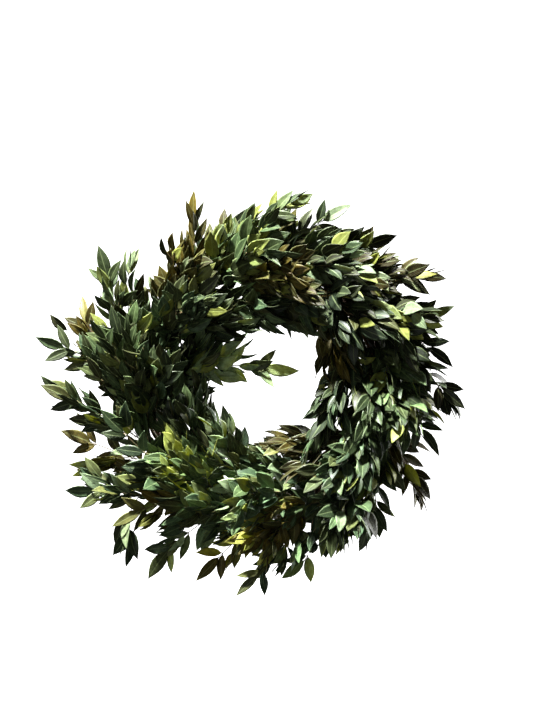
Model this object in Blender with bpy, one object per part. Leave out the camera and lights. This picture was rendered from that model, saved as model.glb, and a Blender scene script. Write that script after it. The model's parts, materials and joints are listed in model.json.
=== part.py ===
"""Myrtle wreath, about 0.6 m across: leafy myrtle sprays tucked into a ring of three twisted vines.

Metres, +Z up. The wreath hangs in the XZ plane with its face towards -Y, and the origin is the point
inside the top of the ring where a hook or peg carries it. Places round the wreath are given as on a
clock face: an angle in degrees, clockwise from the top as seen from the front.
"""

import math
import random
from collections import namedtuple

import bpy
from mathutils import Matrix, Vector
from mathutils.bvhtree import BVHTree

MM = 0.001

# Ring of twisted vines. A vine's two cut ends meet at its own clock angle, some degrees apart
RING_RADIUS = 168 * MM
VINE_COUNT = 3
VINE_RADIUS = 4.5 * MM
ROPE_RADIUS = 5.7 * MM
TWISTS = 4
VINE_POINTS = 37
VINE_END_GAP = 2.0
VINE_END_CLOCKS = (205, 85, 325)
CAP_WELD = 0.05 * MM

# Leaves
LEAF_LENGTH = 42 * MM
LEAF_WIDTH = 0.46
LEAF_THICKNESS = 0.8 * MM
LEAF_FOLD = 0.24
LEAF_ARCH = 0.10
LOWER_SECTION = 0.42
LOWER_HALF_WIDTH = 0.50
UPPER_SECTION = 0.74
UPPER_HALF_WIDTH = 0.36
LEAF_TAPER = 0.18
TIP_LEAF_SIZE = 0.86
LEAF_SIZES = (0.94, 1.06)
# Degrees from the stem's direction, degrees raised from its side of the stem, and how unevenly leaves face
LEAF_SPLAY = (35, 47)
LEAF_LIFT = (-14, 22)
LEAF_SIDE_TILT = 0.35
LEAF_NOD = (-0.2, 0.5)
TIP_LEAF_TILT = 0.4

# Stems
STEM_THICKNESS = 2.8 * MM
STEM_TIP_THICKNESS = 1.8 * MM
NODE_LENGTH = 3.2 * MM
TIP_STRETCH = 7 * MM
NODE_SPACING = 36 * MM
NODE_COUNTS = (4, 6)
NODE_ROLL = (5, 24)
LEAFY_FROM = 0.26
FREE_SHARE = 0.15
STEM_PULL = 0.36
# Roots: how far along the ring a vine's crest is looked for, in degrees, and how many of those weigh as
# much as one degree round the rope
CREST_SEARCH = 12
CREST_EASE = 3
# Shares of a stem's length where its distance from the vines is measured, and how often it is moved
SEAT_SHARES = (0, 0.02, 0.04, 0.06, 0.09, 0.12, 0.16, 0.2, 0.25, 0.3)
SEAT_ROUNDS = 6

# Clearances
SEAT_GAP = 0.35 * MM
LEAF_GAP = 0.45 * MM
OWN_GAP = 0.1 * MM
BARE_SHARE = 0.05
BACK_LIMIT = 30 * MM

# A stem or leaf that finds no room is tried again, further each time from where it was wanted
STEM_TRIES = 60
SIDE_SWAY = 3
LEAF_TRIES = 30
SPLAY_SEARCH = (-8, 28)
LIFT_SEARCH = (-50, 50)
SMALLEST_LEAF = 0.8
TIP_SEARCH = 0.8

# The hole, from the ring's centre: a circle that the sprays leave open, and a box that all leaves stay out of
HOLE_MIDDLE = Vector((5 * MM, 0, 6 * MM))
HOLE_RADIUS = 72 * MM
HOLE_BOX = (Vector((-54 * MM, 0, -52 * MM)), Vector((66 * MM, 0, -2 * MM)))

# Outermost sprays, clockwise: clock angle of the tip, reach from the ring's centre in mm, colour
OUTER_TIPS = (
    (339, 301, "olive"), (355, 258, "deep"), (10, 281, "light"), (25, 286, "deep"), (41, 288, "deep"),
    (56, 293, "olive"), (70, 290, "deep"), (84, 272, "deep"), (97, 287, "deep"), (111, 268, "deep"),
    (125, 290, "olive"), (142, 268, "light"), (158, 262, "deep"), (173, 293, "deep"), (187, 305, "deep"),
    (199, 292, "olive"), (212, 322, "deep"), (228, 288, "olive"), (243, 321, "deep"), (257, 300, "olive"),
    (270, 314, "deep"), (282, 336, "deep"), (295, 311, "olive"), (310, 306, "light"),
)
# In turn along the row: how far in front of the ring a tip lies, and the side of the rope it springs from
OUTER_DEPTHS = (34 * MM, -4 * MM, 52 * MM)
OUTER_SIDES = (20, -22, 34)
OUTER_TURN = 33
OUTER_RISE = 0.10
OUTER_FACING = 0.45

# Rows nearer the hole. `turn` is the clock angle from root to tip, `rise` how steeply a stem leaves the rope
Row = namedtuple("Row", "count first_clock reach depth turn side rise")
FRONT_ROW = Row(count=10, first_clock=8, reach=228 * MM, depth=86 * MM, turn=42, side=62, rise=0.14)
MIDDLE_ROW = Row(count=8, first_clock=24, reach=166 * MM, depth=104 * MM, turn=48, side=100, rise=0.18)
INNER_ROW = Row(count=10, first_clock=15, reach=104 * MM, depth=48 * MM, turn=58, side=148, rise=0.14)
ROW_WAVE = 11 * MM
ROW_JITTER = (-3, 3)
ROW_COLOURS = ("deep", "deep", "olive", "deep", "light")
# How far a row's leaves face the side that their stems spring from, and how far the front
SIDE_FACING = 0.75
FRONT_FACING = 0.6

# One more spray lies across the upper half of the hole: clock angle and side of its root, and colour
HOLE_SPRAY = (258, 140, "light")
HOLE_SPRAY_TIP = Vector((46 * MM, -36 * MM, 22 * MM))

COLOURS = {
    "deep": (0.035, 0.085, 0.045),
    "olive": (0.13, 0.12, 0.035),
    "light": (0.14, 0.24, 0.07),
    "vine": (0.16, 0.085, 0.05),
}
ROUGHNESS = {"deep": 0.42, "olive": 0.5, "light": 0.45, "vine": 0.8}

CENTRE = Vector((0, 0, -(RING_RADIUS - ROPE_RADIUS - VINE_RADIUS)))
FRONT = Vector((0, -1, 0))


def clear_scene():
    for obj in list(bpy.data.objects):
        bpy.data.objects.remove(obj)


def material(name):
    made = bpy.data.materials.new(name)
    made.use_nodes = True
    shader = made.node_tree.nodes["Principled BSDF"]
    shader.inputs["Base Color"].default_value = (*COLOURS[name], 1)
    shader.inputs["Roughness"].default_value = ROUGHNESS[name]
    shader.inputs["Metallic"].default_value = 0
    return made


def outward(clock):
    """Unit vector from the ring's centre towards a clock angle."""
    angle = math.radians(clock)
    return Vector((math.sin(angle), 0, math.cos(angle)))


def clockwise(clock):
    """Unit vector along the ring, in the way that the sprays run."""
    angle = math.radians(clock)
    return Vector((math.cos(angle), 0, -math.sin(angle)))


def rope_side(clock, side):
    """Unit vector out of the rope: side 0 faces away from the hole, 90 to the front and 180 into the hole."""
    angle = math.radians(side)
    return math.cos(angle) * outward(clock) + math.sin(angle) * FRONT


def vine_side(index, clock):
    """Where vine `index` lies round the rope at a clock angle. Vine 0 is inside the ring at the top."""
    return 180 + TWISTS * clock + index * 360 / VINE_COUNT


def vine_point(index, clock):
    return CENTRE + RING_RADIUS * outward(clock) + ROPE_RADIUS * rope_side(clock, vine_side(index, clock))


def in_hole(point, own_name):
    """Whether a point lies in the part of the hole that is kept clear of this spray."""
    place = point - CENTRE
    low, high = HOLE_BOX
    if low.x < place.x < high.x and low.z < place.z < high.z:
        return True
    return own_name != "hole_spray" and (place - HOLE_MIDDLE).xz.length < HOLE_RADIUS


def mesh_from_curve(curve_object, name):
    """The curve as a mesh object with its caps joined to its sides. The curve is removed."""
    graph = bpy.context.evaluated_depsgraph_get()
    mesh = bpy.data.meshes.new_from_object(curve_object.evaluated_get(graph))
    made = bpy.data.objects.new(name, mesh)
    made.matrix_world = curve_object.matrix_world
    bpy.data.objects.remove(curve_object)
    weld = made.modifiers.new("weld_caps", "WELD")
    weld.merge_threshold = CAP_WELD
    return made


def make_vine(index, collection, finish):
    """One vine bent round the ring, its two cut ends meeting."""
    curve = bpy.data.curves.new("vine_path", "CURVE")
    curve.dimensions = "3D"
    curve.bevel_depth = VINE_RADIUS
    curve.bevel_resolution = 1
    curve.use_fill_caps = True
    spline = curve.splines.new("POLY")
    spline.points.add(VINE_POINTS - 1)
    first = VINE_END_CLOCKS[index] + VINE_END_GAP / 2
    for step, point in enumerate(spline.points):
        clock = first + (360 - VINE_END_GAP) * step / (VINE_POINTS - 1)
        point.co = (*vine_point(index, clock), 1)
    path = bpy.data.objects.new("vine_path", curve)
    collection.objects.link(path)
    vine = mesh_from_curve(path, f"vine_{index + 1}")
    collection.objects.link(vine)
    vine.data.materials.clear()
    vine.data.materials.append(finish)
    vine.data.shade_smooth()
    return vine


def surface_tree(obj):
    """The object's evaluated surface, for distance and crossing tests."""
    bpy.context.view_layer.update()
    graph = bpy.context.evaluated_depsgraph_get()
    return BVHTree.FromObject(obj, graph)


def join_sections(low, high):
    """Triangles between two six-point sections. The splits run alike on both faces of the blade."""
    faces = []
    for i in range(6):
        j = (i + 1) % 6
        if i % 3 == 1:
            faces += [(low[i], low[j], high[i]), (low[j], high[j], high[i])]
        else:
            faces += [(low[i], low[j], high[j]), (low[i], high[j], high[i])]
    return faces


def join_root(root, section):
    """Triangles from a blade's four-point root to its first six-point section."""
    left_low, left_top, right_top, right_low = root
    edge_left_low, edge_left_top, rib_top, edge_right_top, edge_right_low, rib_low = section
    return [
        (left_low, left_top, edge_left_top), (left_low, edge_left_top, edge_left_low),
        (left_top, rib_top, edge_left_top), (left_top, right_top, rib_top),
        (right_top, edge_right_top, rib_top), (right_top, right_low, edge_right_low),
        (right_top, edge_right_low, edge_right_top), (right_low, rib_low, edge_right_low),
        (right_low, left_low, rib_low), (left_low, edge_left_low, rib_low),
    ]


def blade_faces(root, first):
    """Triangles from a root's four points through the blade's own 13 points, which start at `first`."""
    lower, upper, tip = range(first, first + 6), range(first + 6, first + 12), first + 12
    faces = join_root(root, lower) + join_sections(lower, upper)
    return faces + [(upper[i], upper[(i + 1) % 6], tip) for i in range(6)]


class Blade:
    """One leaf: the four points it grows from, where it points, which way it faces and how long it is."""

    def __init__(self, root, direction, facing, length):
        self.start = sum(root, Vector()) / 4
        self.direction = direction.normalized()
        self.up = (facing - facing.dot(self.direction) * self.direction).normalized()
        self.across = self.direction.cross(self.up)
        self.length = length
        self.turn = max(range(4), key=lambda turn: self.fit(root, turn))
        self.root = [root[(i + self.turn) % 4] for i in range(4)]

    def fit(self, root, turn):
        """How well the root, turned round by some points, lines up with the blade's section."""
        corners = (-self.across - self.up, self.up - self.across, self.across + self.up, self.across - self.up)
        return sum((root[(i + turn) % 4] - self.start).dot(corner) for i, corner in enumerate(corners))

    def section(self, place, half_width, grow):
        """Six points round the blade at a share of its length: left, rib and right, on both faces."""
        half = half_width * LEAF_WIDTH * self.length + grow
        rib = self.start + self.direction * (place * self.length)
        rib -= self.up * (LEAF_ARCH * self.length * place * place)
        lift = self.up * (LEAF_FOLD * half)
        left, right = rib - self.across * half + lift, rib + self.across * half + lift
        top = self.up * (LEAF_THICKNESS / 2 + grow)
        return [left - top, left + top, rib + top, right + top, right - top, rib - top]

    def points(self, grow=0.0):
        """The blade beyond its root: two sections and the tip. With `grow` it is thicker all round."""
        lower = self.section(LOWER_SECTION, LOWER_HALF_WIDTH, grow)
        upper = self.section(UPPER_SECTION, UPPER_HALF_WIDTH, grow)
        tip = self.start + self.direction * (self.length + grow) - self.up * (LEAF_ARCH * self.length)
        return [*lower, *upper, tip]

    def tree(self, grow=0.0, bare=0.0):
        """The blade's surface for crossing tests, without a share of the stretch next to its root."""
        points = self.points(grow)
        root = [corner + (corner - self.start).normalized() * grow for corner in self.root]
        root = [corner.lerp(points[i], bare) for corner, i in zip(root, (0, 1, 3, 4))]
        return BVHTree.FromPolygons([*root, *points], blade_faces(range(4), 4))

    def middle(self):
        return self.start + self.direction * (self.length / 2)


class Stem:
    """A four-sided stem on a curve, from its foot on the rope to its last pair of leaves."""

    def __init__(self, foot, bend, tip, facing):
        self.foot, self.bend, self.tip = foot, bend, tip
        self.facing = facing
        length = (bend - foot).length + (tip - bend).length
        self.end = 1 - (TIP_LEAF_SIZE * LEAF_LENGTH + TIP_STRETCH) / length
        fewest, most = NODE_COUNTS
        self.nodes = min(most, max(fewest, round((self.end - LEAFY_FROM) * length / NODE_SPACING) + 1))

    def at(self, share):
        return (1 - share) ** 2 * self.foot + 2 * share * (1 - share) * self.bend + share**2 * self.tip

    def heading(self, share):
        return ((1 - share) * (self.bend - self.foot) + share * (self.tip - self.bend)).normalized()

    def sides(self, share, roll=0.0):
        """The stem's facing side and the side to its right, rolled about it by some degrees."""
        along = self.heading(share)
        face = (self.facing - self.facing.dot(along) * along).normalized()
        face = Matrix.Rotation(math.radians(roll), 3, along) @ face
        return face, along.cross(face)

    def half_thickness(self, share):
        return (STEM_THICKNESS + (STEM_TIP_THICKNESS - STEM_THICKNESS) * share) / 2

    def ring(self, share, roll=0.0, shift=0.0, grow=0.0):
        face, right = self.sides(share, roll)
        half = self.half_thickness(share) + grow
        middle = self.at(share) + self.heading(share) * shift
        return [middle + half * (x * face + y * right) for x, y in ((1, -1), (1, 1), (-1, 1), (-1, -1))]

    def outline(self, share):
        """The ring's corners and the middles of its sides."""
        corners = self.ring(share)
        return corners + [corners[i].lerp(corners[i - 1], 0.5) for i in range(4)]

    def node_share(self, node):
        return LEAFY_FROM + (self.end - LEAFY_FROM) * node / (self.nodes - 1)

    def roll(self, node):
        """Pairs of leaves are turned about the stem by turns to the left and to the right."""
        dice = random.Random(node + self.tip.x)
        return dice.uniform(*NODE_ROLL) * (1 if node % 2 else -1)

    def points(self, grow=0.0):
        """Rings at the foot, where the stem has left the rope, on both sides of each node and at the end."""
        rings = [self.ring(0, grow=grow), self.ring(FREE_SHARE, grow=grow)]
        for node in range(self.nodes):
            share, roll = self.node_share(node), self.roll(node)
            rings += [self.ring(share, roll, end * NODE_LENGTH / 2, grow) for end in (-1, 1)]
        rings.append(self.ring(self.end, self.roll(self.nodes - 1), TIP_STRETCH, grow))
        return [point for ring in rings for point in ring]

    def faces(self):
        """Four-point faces by name: the foot, the end, and each side as (ring, side)."""
        rings = 3 + 2 * self.nodes
        found = {"foot": (3, 2, 1, 0), "end": tuple(range(4 * rings - 4, 4 * rings))}
        for low in range(rings - 1):
            for side in range(4):
                turn = (side + 1) % 4
                found[low, side] = (4 * low + side, 4 * low + turn, 4 * low + 4 + turn, 4 * low + 4 + side)
        return found

    def tree(self, grow=0.0):
        return BVHTree.FromPolygons(self.points(grow), list(self.faces().values()))


class Spray:
    """A leafy stem: its name, colour and stem, and by the face that each grows from, its leaves."""

    def __init__(self, name, colour, stem):
        self.name, self.colour, self.stem = name, colour, stem
        self.tree = stem.tree()
        self.leaves = {}

    def root(self, face):
        points = self.stem.points()
        return [points[i] for i in self.stem.faces()[face]]

    def near(self, blade):
        """Surfaces of this spray's leaves that another leaf might touch."""
        reach = LEAF_LENGTH + blade.length / 2
        middle = blade.middle()
        return [leaf.tree() for leaf in self.leaves.values() if (leaf.middle() - middle).length < reach]

    def mesh(self):
        """One closed skin: the stem, with each leaf drawn out of the face that it replaces."""
        points = self.stem.points()
        faces = self.stem.faces()
        skin = [corners for face, corners in faces.items() if face not in self.leaves]
        for face, blade in self.leaves.items():
            root = [faces[face][(i + blade.turn) % 4] for i in range(4)]
            skin += blade_faces(root, len(points))
            points += blade.points()
        mesh = bpy.data.meshes.new(self.name)
        mesh.from_pydata(points, [], skin)
        mesh.validate()
        return mesh


def crossing(tree, others):
    return any(tree.overlap(other) for other in others)


class Wreath:
    """The vines and the sprays placed so far, so that the next stem or leaf is bent clear of them."""

    def __init__(self, vines):
        self.vines = vines
        self.sprays = []

    def crest(self, clock, side):
        """Clock angle near the one given, and vine, whose crest comes closest to this side of the rope."""
        def miss(choice):
            near, index = choice
            return abs((vine_side(index, near) - side + 180) % 360 - 180) + abs(near - clock) / CREST_EASE

        shifts = range(-CREST_SEARCH, CREST_SEARCH + 1)
        return min(((clock + shift, index) for shift in shifts for index in range(VINE_COUNT)), key=miss)

    def seated(self, stem, out):
        """The stem moved along `out`, all but its tip, until it lies the seat gap from the vines."""
        for _ in range(SEAT_ROUNDS):
            points = [point for share in SEAT_SHARES for point in stem.outline(share)]
            gap = min(vine.find_nearest(point)[3] for point in points for vine in self.vines)
            lift = out * (SEAT_GAP - gap)
            stem = Stem(stem.foot + lift, stem.bend + lift, stem.tip, stem.facing)
        return stem

    def add_spray(self, name, colour, tip, clock, side, rise, facing):
        """Bends a stem from the rope to the tip, trying roots and depths near the ones asked for."""
        for attempt in range(STEM_TRIES):
            sway = (attempt + 1) // 2 * (1 if attempt % 2 else -1)
            near, index = self.crest(clock + sway, side + SIDE_SWAY * sway)
            out = rope_side(near, vine_side(index, near))
            foot = vine_point(index, near) + (VINE_RADIUS + STEM_THICKNESS) * out
            end = tip + FRONT * (sway * MM)
            reach = (end - foot).length
            bend = foot + reach * (STEM_PULL * clockwise(near) + rise * out)
            stem = self.seated(Stem(foot, bend, end, facing), out)
            near_stems = crossing(stem.tree(LEAF_GAP), [spray.tree for spray in self.sprays])
            if not near_stems and not crossing(stem.tree(SEAT_GAP / 2), self.vines):
                self.sprays.append(Spray(name, colour, stem))
                return
        raise ValueError(f"{name} finds no way past the other stems")

    def has_room(self, blade, own):
        """Whether a leaf stays clear of the hole, the wall behind and everything placed so far."""
        points = blade.points()
        if any(point.y > BACK_LIMIT or in_hole(point, own.name) for point in points):
            return False
        stems = [spray.tree for spray in self.sprays if spray is not own]
        others = [other for spray in self.sprays if spray is not own for other in spray.near(blade)]
        if crossing(blade.tree(LEAF_GAP), stems + others + self.vines):
            return False
        return not crossing(blade.tree(OWN_GAP, BARE_SHARE), [own.tree, *own.near(blade)])

    def grow_leaf(self, spray, node, hand):
        """One leaf of a pair, splayed and turned at random, and further until it has room."""
        stem = spray.stem
        share = stem.node_share(node)
        face, right = stem.sides(share, stem.roll(node))
        along = stem.heading(share)
        place = (2 + 2 * node, 1 if hand > 0 else 3)
        dice = random.Random(f"{spray.name} {place}")
        for attempt in range(LEAF_TRIES):
            ease = attempt / LEAF_TRIES
            splay = math.radians(dice.uniform(*LEAF_SPLAY) + dice.uniform(*SPLAY_SEARCH) * ease)
            lift = math.radians(dice.uniform(*LEAF_LIFT) + dice.uniform(*LIFT_SEARCH) * ease)
            aside = math.cos(lift) * hand * right + math.sin(lift) * face
            direction = math.cos(splay) * along + math.sin(splay) * aside
            tilt = dice.uniform(-LEAF_SIDE_TILT, LEAF_SIDE_TILT)
            facing = face + tilt * right + dice.uniform(*LEAF_NOD) * along
            taper = 1 - LEAF_TAPER * (node / (stem.nodes - 1)) ** 2
            shrink = 1 - (1 - SMALLEST_LEAF) * ease
            length = LEAF_LENGTH * taper * shrink * dice.uniform(*LEAF_SIZES)
            blade = Blade(spray.root(place), direction, facing, length)
            if self.keep(blade, spray, place):
                return

    def grow_tip_leaf(self, spray):
        """The last leaf, which carries on from the stem's end."""
        stem = spray.stem
        root = spray.root("end")
        start = sum(root, Vector()) / 4
        face, right = stem.sides(stem.end, stem.roll(stem.nodes - 1))
        dice = random.Random(spray.name)
        for attempt in range(LEAF_TRIES):
            ease = TIP_SEARCH * attempt / LEAF_TRIES
            direction = (stem.tip - start).normalized()
            direction += dice.uniform(-ease, ease) * right + dice.uniform(-ease, ease) * face
            facing = face + dice.uniform(-TIP_LEAF_TILT, TIP_LEAF_TILT) * right
            if self.keep(Blade(root, direction, facing, (stem.tip - start).length), spray, "end"):
                return

    def keep(self, blade, spray, place):
        if not self.has_room(blade, spray):
            return False
        spray.leaves[place] = blade
        return True


def plan_outer_sprays(wreath):
    for index, (clock, reach, colour) in enumerate(OUTER_TIPS):
        depth = OUTER_DEPTHS[index % len(OUTER_DEPTHS)]
        side = OUTER_SIDES[index % len(OUTER_SIDES)]
        tip = CENTRE + reach * MM * outward(clock) + FRONT * depth
        facing = OUTER_FACING * outward(clock) + FRONT
        name = f"outer_spray_{index + 1:02d}"
        wreath.add_spray(name, colour, tip, clock - OUTER_TURN, side, OUTER_RISE, facing)


def plan_row(wreath, prefix, row):
    """Sprays evenly round the wreath, their tips waving in and out of the row's surface."""
    dice = random.Random(prefix)
    for index in range(row.count):
        wave = index % 3 - 1
        clock = row.first_clock + 360 * index / row.count + dice.uniform(*ROW_JITTER)
        tip = CENTRE + (row.reach + wave * ROW_WAVE) * outward(clock) + FRONT * (row.depth - wave * ROW_WAVE)
        facing = SIDE_FACING * rope_side(clock - row.turn / 2, row.side) + FRONT_FACING * FRONT
        name = f"{prefix}_{index + 1:02d}"
        wreath.add_spray(name, dice.choice(ROW_COLOURS), tip, clock - row.turn, row.side, row.rise, facing)


def grow_leaves(wreath):
    """Leaves from the lowest nodes up, one of every spray in turn, and the tips last."""
    for node in range(NODE_COUNTS[1]):
        for hand in (-1, 1):
            for spray in wreath.sprays:
                if node < spray.stem.nodes:
                    wreath.grow_leaf(spray, node, hand)
    for spray in wreath.sprays:
        wreath.grow_tip_leaf(spray)


def build():
    clear_scene()
    collection = bpy.data.collections.new("myrtle_wreath")
    bpy.context.scene.collection.children.link(collection)
    finishes = {name: material(name) for name in COLOURS}
    vines = [make_vine(index, collection, finishes["vine"]) for index in range(VINE_COUNT)]
    wreath = Wreath([surface_tree(vine) for vine in vines])
    plan_outer_sprays(wreath)
    plan_row(wreath, "front_spray", FRONT_ROW)
    plan_row(wreath, "middle_spray", MIDDLE_ROW)
    plan_row(wreath, "inner_spray", INNER_ROW)
    clock, side, colour = HOLE_SPRAY
    wreath.add_spray("hole_spray", colour, CENTRE + HOLE_SPRAY_TIP, clock, side, INNER_ROW.rise, FRONT)
    grow_leaves(wreath)
    for spray in wreath.sprays:
        made = bpy.data.objects.new(spray.name, spray.mesh())
        made.data.materials.append(finishes[spray.colour])
        collection.objects.link(made)


build()
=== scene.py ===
"""Myrtle wreath: leafy sprays and twisted vines round the frame's parts, with stage, lights and camera.

Metres, +Z up, the wreath's face towards -Y. Every spray of the frame is dressed: its own leaves and stem are
read from its node, and finer leaves, further pairs of leaves and side twigs take the node's place.
"""

import functools
import json
import math
import random

import bmesh
import bpy
import numpy as np
from mathutils import Matrix, Vector
from mathutils.bvhtree import BVHTree


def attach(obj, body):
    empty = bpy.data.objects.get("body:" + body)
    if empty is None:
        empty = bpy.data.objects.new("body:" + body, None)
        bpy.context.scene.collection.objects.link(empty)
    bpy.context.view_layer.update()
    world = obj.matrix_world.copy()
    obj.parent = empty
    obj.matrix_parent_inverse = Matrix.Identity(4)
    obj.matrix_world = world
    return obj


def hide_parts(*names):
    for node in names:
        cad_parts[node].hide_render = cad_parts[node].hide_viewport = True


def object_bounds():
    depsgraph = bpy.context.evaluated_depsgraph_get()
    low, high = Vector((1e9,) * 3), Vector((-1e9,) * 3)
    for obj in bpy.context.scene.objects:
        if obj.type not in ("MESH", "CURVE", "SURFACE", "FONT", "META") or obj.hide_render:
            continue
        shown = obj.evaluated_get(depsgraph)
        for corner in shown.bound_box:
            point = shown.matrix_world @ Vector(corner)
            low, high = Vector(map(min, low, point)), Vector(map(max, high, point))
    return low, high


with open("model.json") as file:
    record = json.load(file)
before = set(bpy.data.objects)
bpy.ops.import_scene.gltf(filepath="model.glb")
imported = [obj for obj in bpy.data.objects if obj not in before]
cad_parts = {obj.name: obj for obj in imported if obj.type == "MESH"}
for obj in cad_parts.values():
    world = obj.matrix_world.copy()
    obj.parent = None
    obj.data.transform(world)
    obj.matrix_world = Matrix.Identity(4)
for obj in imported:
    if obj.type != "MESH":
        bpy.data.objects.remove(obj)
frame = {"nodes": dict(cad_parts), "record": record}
FRAME_LOW, FRAME_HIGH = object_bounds()

bl_info = {
    "name": "Myrtle Wreath",
    "version": (1, 0, 0),
    "blender": (4, 5, 0),
    "location": "View3D > Sidebar > Wreath",
    "description": "Leafy myrtle sprays round a ring of twisted vines",
    "category": "Object",
}

MM = 0.001

# The frame's pieces: how near corners are joined, how thick blades are, give or take, and the longest edges
# within a ring of a stem and of a vine
WELD = 0.02 * MM
BLADE_THICKNESS = 0.8 * MM
BLADE_SLACK = 1.2
STEM_RING_LINK = 3.0 * MM
VINE_RING_LINK = 5.0 * MM

# The ring, the round part of its hole that all sprays but one leave open, and how high above its middle
# leaves on the right may come in as far as the record's opening
RING_CENTRE = Vector((0, 0, -157.8 * MM))
HOLE_MIDDLE = RING_CENTRE + Vector((5 * MM, 0, 6 * MM))
HOLE_RADIUS = 68 * MM
CORNER_TOP = 45 * MM

# A leaf of length 1: shares of its length, and its half width there, from its stalk to near its tip
LEAF_RINGS = (
    (0.0, 0.016), (0.05, 0.024), (0.15, 0.122), (0.31, 0.186),
    (0.49, 0.196), (0.66, 0.162), (0.81, 0.094), (0.93, 0.028),
)
LEAF_TIP = (1.0, 0.001)
LEAF_SIDES = 8

# How leaves differ: in width, in how their edges rise, and in how they arch, bend sideways, wave and twist
LEAF_WIDTHS = (0.82, 1.16)
LEAF_FOLD = 0.45
FOLD_RANGE = (-0.25, 0.45)
FOLD_CURVE = 1.3
LEAF_ARCH = 0.1
ARCH_RANGE = (-0.1, 0.26)
MOST_BOW = 0.28
MOST_WAVE = 0.14
WAVE_RATE = 7
WAVE_LAG = 0.8
TWIST = 0.22

# Room for a leaf: the cells in which neighbours are looked up, the leaf's outline as a flat sheet beyond its
# stalk, where along its rib it is tested too, and how far it may stand out of the frame's box
CELL = 48 * MM
SHEET = ((0.12, 0), (0.4, -0.21), (0.75, -0.12), (1, 0), (0.75, 0.12), (0.4, 0.21))
RIB_SHARES = (0.3, 0.5, 0.7)
BOX_MARGIN = 1 * MM

# The frame's own leaves: length and width for their blades', which lack the drawn-out tip, how far they
# differ and how far their roots move to the nearest of so many places along the stem
OWN_LENGTH = 1.12
OWN_WIDTH = 0.88
OWN_SPREAD = 0.5
ROOT_SINK = 0.6
STATIONS = 200

# Pairs of leaves on stems and twigs: the bare share at the foot, sizes at foot and tip, and rolls in turn.
# How far a roll may be off, and the room beside the frame's own leaves
STEM_FOOT = 0.1
STEM_SIZES = (1.0, 0.8)
STEM_ROLLS = (58, -58, 90)
TWIG_FOOT = 0.3
TWIG_SIZES = (1.0, 0.82)
TWIG_ROLLS = (8, 82)
ROLL_RANGE = (-14, 14)
PAIR_ROOM = 0.45

# A leaf's spread, tilt, nod and length, and how far each new try spreads, lifts and shortens it
SPLAY = (12, 35)
TILT = 1.2
NOD = (-0.6, 1.1)
LEAF_LENGTHS = (0.82, 1.16)
LEAF_TRIES = 12
TRY_SPLAY = 4
TRY_LIFT = 0.05
TRY_LESS = 0.03

# Where along the stem the first and the last twig grow, the sizes of these on outer sprays, and how many
# more twigs inner and middle sprays have
TWIG_SHARES = (0.04, 0.8)
OUTER_TWIG_SHARES = (0.02, 0.72)
OUTER_TWIG_SIZES = (1.1, 0.3)
MORE_TWIGS = 3

# A twig's lean, roll and length, its parts below and above its bend, and how it turns there to its stem's
# heading. Parts and turn of one that fills a place, and the size and lean of the leaf at a twig's end
TWIG_LEAN = (18, 38)
TWIG_ROLL = (-60, 35)
TWIG_LENGTHS = (0.7, 1.15)
TWIG_PARTS = (0.55, 0.45)
TWIG_TURN = (0.6, 0.4)
FILLING_PARTS = (0.35, 0.65)
FILLING_TURN = 0.5
END_LEAF = 0.78
END_SIDE = 0.2

# The spray that stands alone at the upper left: how far up twigs grow, its leaves' spread and width, and how
# far the frame's own are drawn in to its stem
SLIM_SPRAY = "outer_spray_01"
SLIM_TWIGS = 0.2
SLIM_SPLAY = (4, 18)
SLIM_WIDTH = 0.62
SLIM_DRAW = 0.55

# Thin blades at the end of a twig: their spread, width and length, and how many there may be
SHOOT_SPREAD = (0.1, 0.6)
SHOOT_WIDTH = (0.05, 0.16)
SHOOT_LENGTH = (0.45, 0.95)
MOST_SHOOTS = 4

# The share of leaves that stay narrow young blades, and how wide these are
NARROW_SHARE = 0.1
NARROW = (0.3, 0.55)


def by_node(**rows):
    """A table by node from one by rows of sprays and their numbers."""
    cells = ((row, number, value) for row, values in rows.items() for number, value in values.items())
    return {f"{row}_spray_{number:02}": value for row, number, value in cells}


# How likely a leaf is fresh yellow, by its tone, or by its spray where that differs. It is FRESH_FOOT times
# as likely at a stem's foot, and once more at its tip
FRESH_FOOT = 0.35
FRESH = {"deep": 0.02, "olive": 0.06, "light": 0.05}
FRESH_SPRAYS = by_node(
    front={1: 0.35, 2: 0.1, 3: 0.2, 6: 0.3, 9: 0.1},
    middle={1: 0.12, 6: 0.5},
    outer={1: 0.0, 3: 0.4, 5: 0.05, 6: 0.06, 12: 0.2, 16: 0.3, 24: 0.12},
)

# How likely a leaf is pale, in any spray or in these. Pale leaves are painted light, coloured as if they
# stood in full light
PALE_PAINTED_LIGHT_SHARE = 0.03
PALE_PAINTED_LIGHT_SPRAYS = {"hole_spray": 0.55} | by_node(
    front={1: 0.1, 2: 0.28, 3: 0.18, 5: 0.12},
    outer={3: 0.12, 4: 0.12, 5: 0.14, 6: 0.14, 14: 0.15, 19: 0.2, 20: 0.15, 24: 0.15},
)

# Sprays with smaller or larger leaves, and those in front with broader ones
LEAF_SIZES = by_node(
    front={1: 1.1, 2: 1.06, 4: 1.12, 5: 1.08, 6: 0.8},
    middle={4: 1.08, 6: 0.74},
    outer={16: 0.85},
)
BROAD_SPRAYS = ("front_spray", "middle_spray")
BROAD = 1.16

# How far a leaf may drift to another tone and to olive, and further to olive at the tips of outer sprays but
# for these
TONE_DRIFT = 0.55
OLIVE_DRIFT = 0.5
BRONZE = 0.45
GREEN_TIPS = ("outer_spray_14", "outer_spray_15", "outer_spray_17", "outer_spray_19", "outer_spray_21")

# A leaf's brightness for its tone, mostly near the dimmest. For fresh and pale leaves, the share of their own
# colour, the least brightness, which is painted light, and how far a spray's painted shade may dim them at
# most
DIMMEST = 0.45
BRIGHTEST = 1.7
DIM_POWER = 2.7
FRESH_MIX = (0.4, 1.0)
LEAST_FRESH_PAINTED_LIGHT = 1.15
PALE_PAINTED_LIGHT_MIX = (0.4, 0.9)
LEAST_PALE_PAINTED_LIGHT = 1.3
LEAST_PAINTED_SHADE = 0.78

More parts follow.
